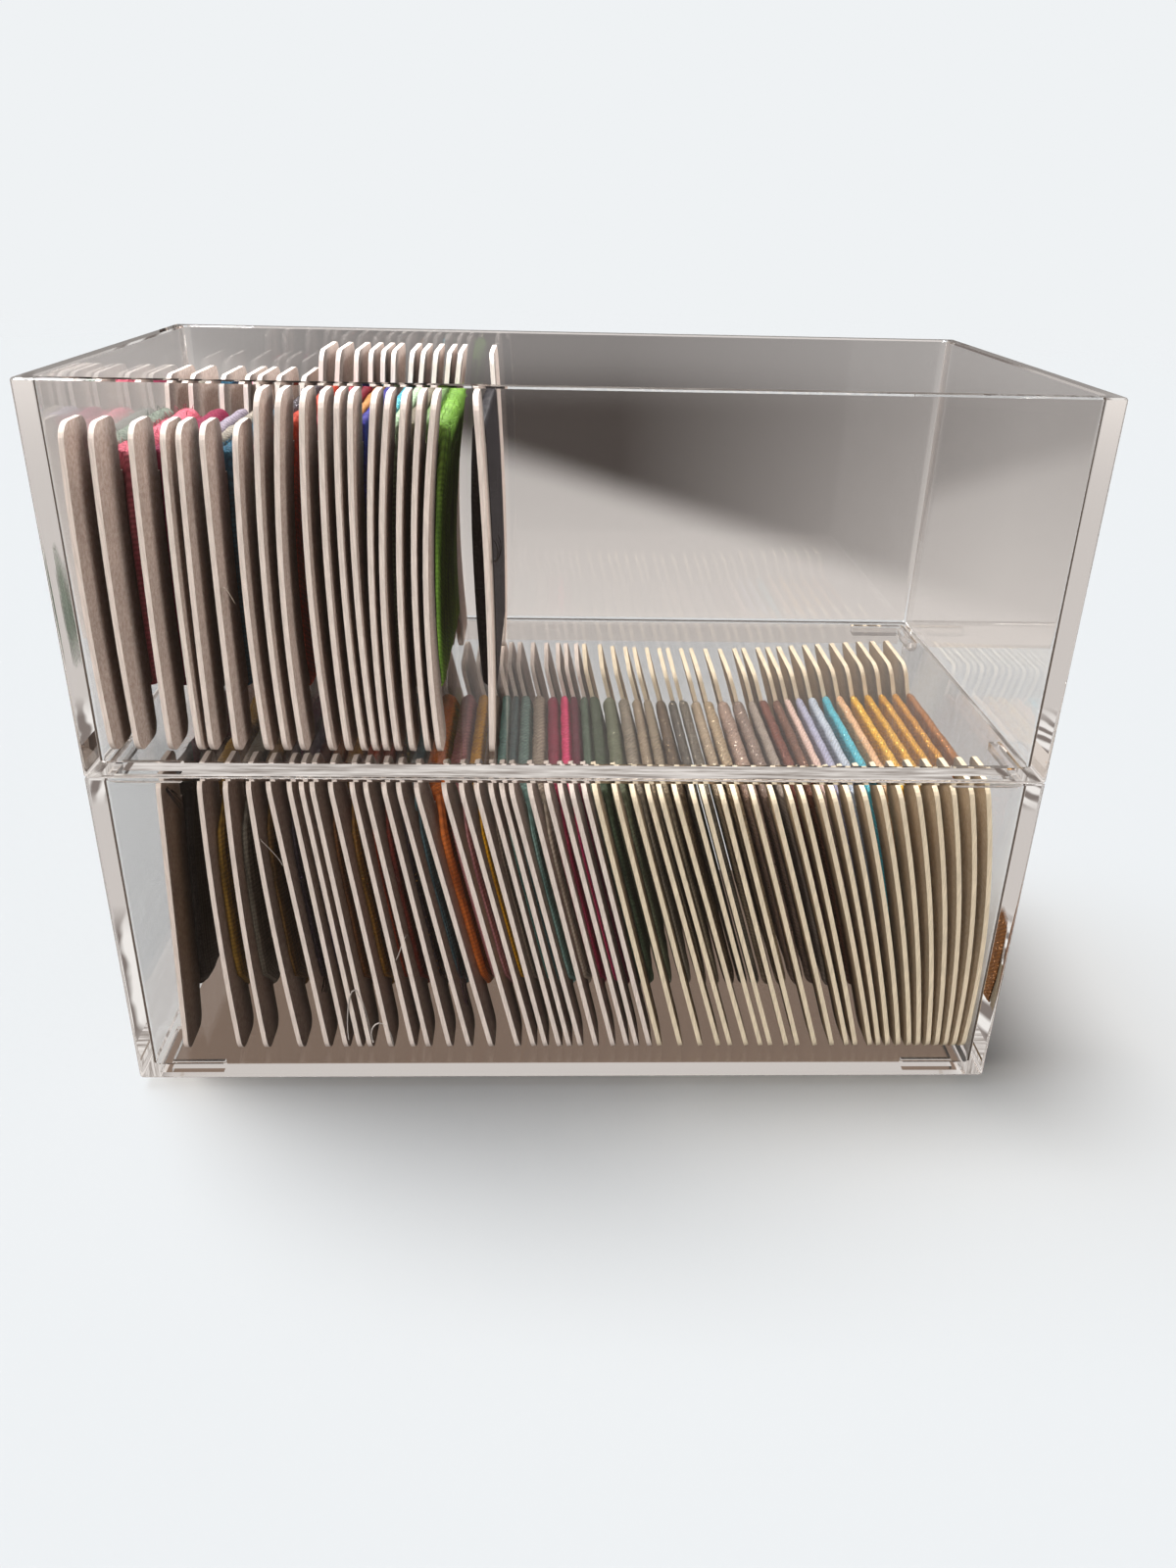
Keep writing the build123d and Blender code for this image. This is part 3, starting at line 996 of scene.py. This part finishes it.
def thread_material(name, deep, light, film=0.0, film_colour="#FFFFFF"):
    """Wound thread: colour streaks, a slanting twist as bump and painted highlight and shade, and film
    points.
    """
    material, tree = new_material(name)
    along_across = add(tree, "UVMap", uv_map="along_and_across").outputs["UV"]
    streak_place = add(tree, "Mapping", {"Vector": along_across, "Scale": (0.06, 1.9, 1.0)})
    painted_streak = add(tree, "TexNoise", {"Vector": streak_place, "Scale": 1.0, "Detail": 3.0, "Roughness": 0.65})
    tone = add(tree, "MapRange", {"Value": painted_streak, "From Min": 0.32, "From Max": 0.68})
    dyed = add(tree, "Mix", {"Factor": tone, 6: linear(deep), 7: linear(light)}, data_type="RGBA")
    twist_place = add(tree, "Mapping", {"Vector": along_across, "Rotation": (0, 0, np.radians(28))})
    twist = add(tree, "TexWave", {
        "Vector": twist_place,
        "Scale": 0.29,
        "Distortion": 1.2,
        "Detail": 2.0,
        "Detail Scale": 2.0,
    })
    fibre_place = add(tree, "Mapping", {"Vector": along_across, "Scale": (1.2, 9.0, 1.0)})
    fibre = add(tree, "TexNoise", {"Vector": fibre_place, "Scale": 1.0, "Detail": 2.0})
    both = add(tree, "Math", {0: twist.outputs["Fac"], 1: fibre}, operation="ADD")
    bump = add(tree, "Bump", {"Height": both, "Strength": 0.6, "Distance": 0.12 * MM})
    # Painted highlight and shade: each turn of the twist is lighter, and darker between the turns.
    shade = add(tree, "MapRange", {"Value": twist.outputs["Fac"], "To Min": 0.72, "To Max": 1.08})
    shaded = add(tree, "VectorMath", {0: dyed, "Scale": shade}, operation="SCALE")
    # Painted pale in light caught in a wall, so that the trays' edges shine.
    seen = add(tree, "Mix", {
        "Factor": mirrored_more_than(tree, 1),
        6: shaded,
        7: thread_painted_pale_when_caught,
    }, data_type="RGBA")
    inputs = {
        "Base Color": seen,
        "Roughness": 0.62,
        "Specular IOR Level": 0.2,
        "Sheen Weight": 0.15,
        "Sheen Roughness": 0.35,
        "Sheen Tint": linear(light),
        "Normal": bump,
    }
    if film > 0:
        fleck = add(tree, "TexVoronoi", {"Vector": along_across, "Scale": points_per_mm}).outputs
        chance = add(tree, "SeparateColor", {"Color": fleck["Color"]})
        near = add(tree, "Math", {0: fleck["Distance"], 1: 0.45}, operation="LESS_THAN")
        picked = add(tree, "Math", {0: chance, 1: film}, operation="LESS_THAN")
        bright = add(tree, "Math", {0: near, 1: picked}, operation="MULTIPLY")
        flecked = add(tree, "Mix", {"Factor": bright, 6: seen, 7: linear(film_colour)}, data_type="RGBA")
        inputs["Base Color"] = flecked
        inputs["Metallic"] = add(tree, "MapRange", {"Value": bright, "To Min": 0.0, "To Max": 0.9})
        inputs["Roughness"] = add(tree, "MapRange", {"Value": bright, "To Min": 0.5, "To Max": 0.22})
    finish_material(tree, add(tree, "BsdfPrincipled", inputs))
    return material


print("a thread with film has bright points", round(1 / points_per_mm, 2), "mm apart")

# %% [markdown]
# The threads stand here in order, from left to right: a name, a deep and a light colour, and for braids the
# share of bright film and its colour. The ones at the right of the lower row are metallic.

# %% Threads above
upper_threads = (
    ("grey_green_cotton", "#59645B", "#8C9588"), ("rose_brushed_yarn", "#A93E55", "#E07A88"),
    ("burgundy_cotton", "#5E0F2C", "#94244A"), ("lilac_grey_cotton", "#7C7280", "#A79CA8"),
    ("grey_beige_cotton", "#746C62", "#A39A8C"), ("teal_brushed_yarn", "#14374A", "#2F6C86"),
    ("pink_cotton", "#B4607C", "#E39AAC"), ("dark_tweed_braid", "#1B1518", "#4A4248", 0.25, "#C9C4CE"),
    ("red_orange_cotton", "#8A1D12", "#D24A28"), ("crimson_silk", "#5C0512", "#A80F28", 0.10, "#FF6A78"),
    ("deep_crimson_silk", "#4A0614", "#8E1030"), ("tan_orange_cotton", "#8A5426", "#C98C4E"),
    ("blue_violet_cotton", "#1B1650", "#3A36A0"), ("turquoise_braid", "#0F6A80", "#4FC0D0", 0.15, "#BDF4FF"),
    ("pale_green_cotton", "#8AA888", "#C2D8B4"), ("taupe_cotton", "#5E5648", "#8E8472"),
    ("moss_cotton", "#46603A", "#7E9A62"), ("leaf_green_silk", "#3E6420", "#8FC24C"),
    ("black_cotton", "#08070A", "#1E1820"),
)
print(len(upper_threads), "threads above, from", upper_threads[0][0], "to", upper_threads[-1][0])

# %% Threads below
lower_threads = (
    ("black_yarn", "#0B0C0E", "#1C1E22"), ("olive_gold_silk", "#5A4210", "#A47E2C"),
    ("grey_olive_cotton", "#4A463E", "#8A8478"), ("brown_gold_mix", "#2E2010", "#7A5828"),
    ("black_plum_yarn", "#0D0A10", "#241A28", 0.04, "#7A6A90"),
    ("dark_plum_cotton", "#150F1C", "#2C2036", 0.02, "#A090B0"), ("brown_black_cotton", "#1C120E", "#3A261C"),
    ("umber_cotton", "#3A2010", "#6E4420"), ("olive_brown_braid", "#44300E", "#80581C", 0.05, "#D0A850"),
    ("rust_red_cotton", "#5A1A0C", "#A04020"), ("oxblood_cotton", "#3A100C", "#702418"),
    ("black_gold_braid", "#120C12", "#2A1C26", 0.22, "#D8B070"), ("slate_teal_cotton", "#22343A", "#4C6870"),
    ("orange_rust_cotton", "#7A360C", "#CC6C28"), ("dusty_rose_cotton", "#7E464E", "#B98080"),
    ("mustard_cotton", "#9A6604", "#E8A80E"), ("grey_brown_cotton", "#54443A", "#8A786A"),
    ("sea_green_cotton", "#33605C", "#7AAAA0"), ("deep_sea_cotton", "#26383C", "#5A7A7C"),
    ("sea_grey_cotton", "#44605C", "#8AACA4"), ("pale_taupe_cotton", "#857566", "#BCAE9E"),
    ("wine_cotton", "#6A1430", "#A03050"), ("hot_pink_silk", "#B80C44", "#FA4A8A"),
    ("dark_wine_cotton", "#380C1C", "#6E1E38"), ("forest_grey_cotton", "#2A3A30", "#5E7260"),
    ("black_green_cotton", "#1E281E", "#4C5C46"),
    ("olive_grey_cotton", "#3A4032", "#747A62", 0.05, "#C8C8B4"), ("warm_grey_cotton", "#5A5248", "#948A7A"),
    ("taupe_braid", "#66584A", "#9E8E78", 0.10, "#F0E4C8"), ("grey_taupe_cotton", "#5E5448", "#968872"),
    ("charcoal_brown_braid", "#2C221A", "#62503C", 0.16, "#D8C8A8"),
    ("charcoal_braid", "#262420", "#565048", 0.14, "#C8C0B0"),
    ("smoke_braid", "#34302A", "#6A6256", 0.14, "#D8D0BC"),
    ("silver_taupe_braid", "#6E6050", "#A8967E", 0.20, "#F8ECD4"),
    ("sand_taupe_braid", "#756450", "#AA9678", 0.20, "#FCF0D4"),
    ("mauve_taupe_braid", "#6A5650", "#A08878", 0.18, "#F8E8D8"),
    ("grey_mauve_braid", "#4C3E3A", "#887468", 0.18, "#E8DCD0"), ("stone_cotton", "#6A6058", "#A0948A"),
    ("red_brown_braid", "#3E1C16", "#744032", 0.06, "#F0B0A0"),
    ("cocoa_braid", "#3A2018", "#704A38", 0.05, "#F0C8B0"),
    ("pale_pink_beige_silk", "#B09088", "#DEC4B8", 0.04, "#FFFFFF"),
    ("lavender_grey_silk", "#7C7C94", "#B2B4CC", 0.03, "#FFFFFF"),
    ("pale_blue_grey_silk", "#8C96A8", "#C0CCD8", 0.03, "#FFFFFF"),
    ("turquoise_silk", "#1A7A90", "#5CC4D4", 0.12, "#D8FFFF"),
    ("peach_beige_silk", "#B88C68", "#E4BA90", 0.08, "#FFF0DC"),
    ("bright_gold_braid", "#A87408", "#F0BC38", 0.35, "#FFE880"),
    ("gold_braid", "#986A08", "#E0A82C", 0.35, "#FFE070"),
    ("old_gold_braid", "#906008", "#D89C20", 0.35, "#FFD860"),
    ("amber_gold_braid", "#845408", "#C88A20", 0.30, "#FFD060"),
    ("copper_brown_braid", "#643A12", "#A4682C", 0.16, "#F0B078"),
)
threads = {"upper": upper_threads, "lower": lower_threads}
assert all(len(threads[row]) == len(rows[row]) for row in rows)
print(len(lower_threads), "threads below, from", lower_threads[0][0], "to", lower_threads[-1][0])

# %% [markdown]
# Short fibres stand out of brushed yarns and of the turns over the notch. Each is a thin square tube along a
# curve: it rises along the normal as half a wave, and drifts along the card. One function makes any number of
# them at once, and they share the object of the winding they grow from. Real fibres are 0.02 mm thick, which
# would not show, so they are drawn 0.1 mm thick.

# %% Loose fibres
fibre_stations = 5
fibre_radius = 0.05 * MM


def tubes(stand, y, height, offset, radius=fibre_radius):
    """Square tubes along curves of y, height and offset, with a row per tube and a column per station."""
    count, stations = y.shape
    corner = np.array(((-1, -1), (1, -1), (1, 1), (-1, 1))) * radius
    taper = np.linspace(1.0, 0.5, stations)[None, :, None]
    ring_y = y[..., None] + corner[:, 0] * taper
    ring_offset = offset[..., None] + corner[:, 1] * taper
    ring_height = height[..., None] + 0.7 * (corner[:, 0] - corner[:, 1]) * taper
    points = bend(stand, ring_y, ring_height, ring_offset).reshape(-1, 3)
    one = quads(stations, 4, False, True)
    caps = np.array(((0, 1, 2, 3), (3, 2, 1, 0))) + np.array(((0,), (4 * (stations - 1),)))
    one = np.concatenate((one, caps))
    faces = (one[None] + 4 * stations * np.arange(count)[:, None, None]).reshape(-1, 4)
    return points, outward(points, faces)


def fuzz(stand, winding, count, length, lowest, rng):
    """Short fibres at chance places above a height: half a wave along the normal, and a drift."""
    y, height, offset, rise_height, rise_offset = winding["outer"]
    picked = rng.choice(np.flatnonzero(height > lowest), count)
    way = np.linspace(0, 1, fibre_stations)[None, :]
    bow = np.sin(way * rng.uniform(0.5, 0.95, (count, 1)) * np.pi)
    lift = rng.uniform(0.3, 1.0, (count, 1)) * length * bow
    curve_y = y[picked, None] + rng.uniform(-1.3, 1.3, (count, 1)) * length * way
    curve_height = height[picked, None] + lift * rise_height[picked, None]
    curve_height = curve_height + rng.uniform(-0.5, 0.5, (count, 1)) * length * way
    curve_offset = offset[picked, None] + 0.5 * lift * rise_offset[picked, None]
    points, faces = tubes(stand, curve_y, curve_height, curve_offset)
    uv = np.zeros((len(faces) * 4, 2)) + rng.uniform(0, 40, (1, 2))
    return {"points": points, "faces": faces, "uv": uv}


print("fibres are", round(2 * fibre_radius / MM, 2), "mm thick")

# %% [markdown]
# Each winding replaces its CAD band, as one object per CAD node, so the five windings of a bundle share one
# object with five materials. Over the notch the turns lie loose and stand proud of the band on the faces, so
# the crest is raised by a few millimetres. The lower row's first windings are loose and bulge to the front.
# Two windings aren't even bands: one is thicker towards the top, and one is a thick lens on its left side.

# %% Wind the cards
short_crest, tall_crest, lower_crest = 3.6 * MM, 3.4 * MM, 3.2 * MM
upper_bulge, lower_bulge, loose_bulge = 1.5 * MM, 3.0 * MM, 10.0 * MM
loosely_wound = range(1, 23)
tall_from = 80 * MM
fuzz_from = 0.55
silk_foot, silk_gain, silk_low, silk_rise = 0.8, 1.5, 12 * MM, 55 * MM
lens_rim, lens_gain, lens_middle, flat_side = 0.5, 3.6, 41.5 * MM, 0.35
partly_filled = {
    "teal_brushed_yarn": 0.78,
    "pink_cotton": 0.78,
    "olive_gold_silk": 0.8,
    "grey_olive_cotton": 0.8,
    "brown_gold_mix": 0.9,
}
fuzzy = {
    "rose_brushed_yarn": (260, 1.6),
    "teal_brushed_yarn": (260, 1.6),
    "leaf_green_silk": (300, 1.5),
    "grey_green_cotton": (120, 1.2),
    "dark_tweed_braid": (120, 1.2),
    "black_yarn": (160, 1.5),
    "slate_teal_cotton": (260, 1.6),
}


def own_shape(name, left, right):
    """The thickness on both sides, changed for the two windings that aren't even bands."""
    if name == "leaf_green_silk":
        return left, lambda h: (silk_foot + silk_gain * np.clip((h - silk_low) / silk_rise, 0, 1) ** 1.5) * MM
    if name == "black_cotton":
        return (
            lambda h: (lens_rim + lens_gain * np.clip(1 - (h / lens_middle - 1.0) ** 2, 0, 1)) * MM,
            lambda h: flat_side * MM + 0 * h,
        )
    return left, right


def crest_and_bulge(row, index):
    """How far a winding is raised over the notch, and how far it bulges to the front."""
    if row == "upper":
        return tall_crest if rows[row][index]["height"] > tall_from else short_crest, upper_bulge
    return lower_crest, loose_bulge if index in loosely_wound else lower_bulge


for group in groups:
    row, surfaces, materials = group["row"], [], []
    for step in range(group["size"]):
        index = group["first"] + step
        thread, stand = threads[row][index], rows[row][index]
        sides = sides_of(rows[row], index, partly_filled.get(thread[0], 1.0))
        surface = winding_surface(stand, *own_shape(thread[0], *sides), *crest_and_bulge(row, index), rng)
        wound = [surface]
        if thread[0] in fuzzy:
            count, length = fuzzy[thread[0]]
            wound.append(fuzz(stand, surface, count, length * MM, stand["height"] * fuzz_from, rng))
        surfaces += [{**part, "material": step} for part in wound]
        materials.append(thread_material(*thread))
    name = group["threads"]
    build_object(f"wound_{name}", surfaces, materials, group, name)
print("windings are in", len(groups), "objects, with", len(fuzzy), "fuzzy threads among them")

# %% [markdown]
# A few ends and loops lie loose in the rows: dark tufts beside two windings, pale fibres between the flaps
# and clear nylon loops near the floor. Each is a smooth curve through a few places on its card, in
# millimetres: y, how high and how far to the side. A spline is not needed: a cubic fits four places exactly.

# %% Loose ends
loose_steps = 14
tuft_count, tuft_spread, end_spread = 4, 0.9, 0.3
loose_colours = {
    "dark_tuft": ("#141216", "#2A262C"),
    "dark_end": ("#181210", "#2C201C"),
    "dark_loop": ("#20161A", "#4A343A"),
    "pale_fibre": ("#C8BEB6", "#F0EAE4"),
    "teal_fluff": ("#3A5A62", "#7FA6AE"),
    "nylon_loop": ("#CFC8C2", "#F4F0EC"),
    "pale_end": ("#B8A898", "#E6DCCE"),
}
loose_ends = (
    ("dark_tuft", "lower", 1, 0.10, 5, (-42, 74, 1.5), (-46, 78, 0.5), (-48, 77, 2.5), (-44, 72, 3.5)),
    ("dark_tuft", "upper", 19, 0.12, 5, (-34, 44, 0.9), (-44, 46, 1.6), (-48, 49, 2.6), (-50, 53, 2.0)),
    ("dark_end", "lower", 5, 0.16, 4, (-34, 24, 1.2), (-40, 21, 1.4), (-44, 19, 1.6), (-47, 17.5, 1.4)),
    ("dark_loop", "lower", 13, 0.16, 3, (-40, 26, 1.2), (-49, 22, 2.0), (-49, 14, 2.0), (-41, 20, 1.4)),
    ("pale_fibre", "lower", 4, 0.07, 3, (-50.2, 66, 0.7), (-50.6, 64, 2.2), (-50.4, 61, 3.9), (-50.2, 58, 5)),
    ("pale_fibre", "lower", 10, 0.07, 3, (-50.2, 30, 0.7), (-50.8, 32, 2), (-50.6, 35, 3.6), (-50.2, 37, 5)),
    ("teal_fluff", "lower", 13, 0.08, 14, (-40, 70, 1.0), (-46, 74, 2.2), (-45, 77, 3.2), (-40, 75, 3.8)),
    ("nylon_loop", "lower", 6, 0.10, 2, (-50.4, 4, 1.0), (-51.5, 16, 3.2), (-51.2, 20, 6.0), (-50.4, 2, 7.0)),
    ("nylon_loop", "lower", 8, 0.10, 2, (-50.4, 3, 1.0), (-51.5, 9, 2.2), (-51.2, 9, 5.0), (-50.4, 1.5, 6.0)),
    ("pale_end", "upper", 6, 0.09, 1, (-50.2, 38, 0.8), (-50.7, 41, 1.6), (-50.8, 39, 3.0), (-50.2, 37, 3.8)),
)


def through(places, spread, count, rng):
    """Cubic curves through four places at equal steps, each copy shifted a little at its free end."""
    way = np.linspace(0, 1, loose_steps)
    powers = np.stack([way**p for p in range(4)])
    thirds = np.array([[(i / 3) ** p for p in range(4)] for i in range(4)])
    curve = powers.T @ (np.linalg.inv(thirds) @ np.array(places, float))
    shift = rng.uniform(-spread, spread, (count, 1, 3)) * way[None, :, None]
    return (curve[None] + shift) * MM


for number, (kind, row, card, radius, count, *places) in enumerate(loose_ends, 1):
    group = next(g for g in groups if g["row"] == row and g["first"] < card <= g["first"] + g["size"])
    curves = through(places, tuft_spread if count >= tuft_count else end_spread, count, rng)
    points, faces = tubes(rows[row][card - 1], curves[..., 0], curves[..., 1], curves[..., 2], radius * MM)
    surface = {"points": points, "faces": faces, "uv": np.zeros((len(faces) * 4, 2))}
    name = f"{kind}_{number}"
    build_object(name, [surface], [thread_material(name, *loose_colours[kind])], group)
faces_in_all = sum(len(o.data.polygons) for o in scene.objects if o.type == "MESH" and not o.hide_render)
print("the whole object has", faces_in_all, "faces")

# %% [markdown]
# The last step prints how far the visual model reaches, in millimetres.

# %% Finish
visual_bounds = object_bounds()
visual_low, visual_high = (np.round(np.array(corner) / MM, 1) for corner in visual_bounds)
print("the visual model reaches from", visual_low, "to", visual_high, "mm")
